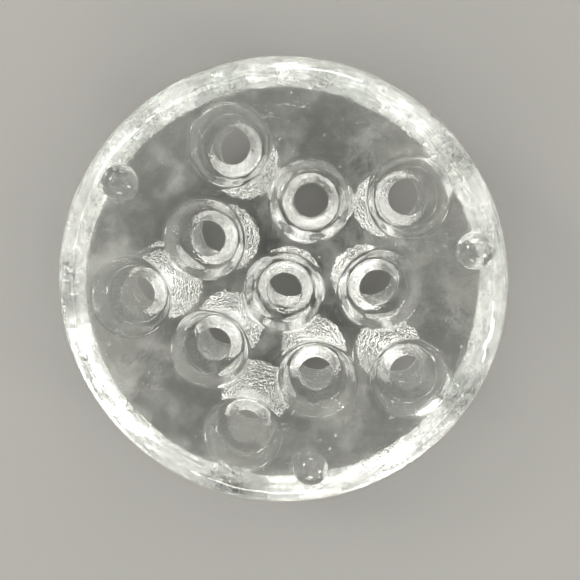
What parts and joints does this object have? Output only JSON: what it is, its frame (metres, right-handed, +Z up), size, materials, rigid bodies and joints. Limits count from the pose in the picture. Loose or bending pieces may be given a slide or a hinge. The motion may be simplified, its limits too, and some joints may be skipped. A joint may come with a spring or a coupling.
{
  "type": "flower frog",
  "caption": "Domed clear pressed-glass flower frog with rings of upright stem holes, flat underside and small moulded ball feet.",
  "frame": {"origin": "middle of the resting surface, straight under the centre of the dome, at the level of the tips of the feet", "axes": "+Z up through the middle stem hole and out of the crown; +X through the middle of one hole of the inner ring"},
  "size_m": [0.097, 0.097, 0.0367],
  "materials": {
    "glass": "clear pressed glass, fire polished outside, slightly wavy and grainy in the holes"
  },
  "bodies": {
    "root": {"glass_body": "glass", "foot_left": "glass", "foot_right": "glass", "foot_rear": "glass"}
  },
  "joints": []
}
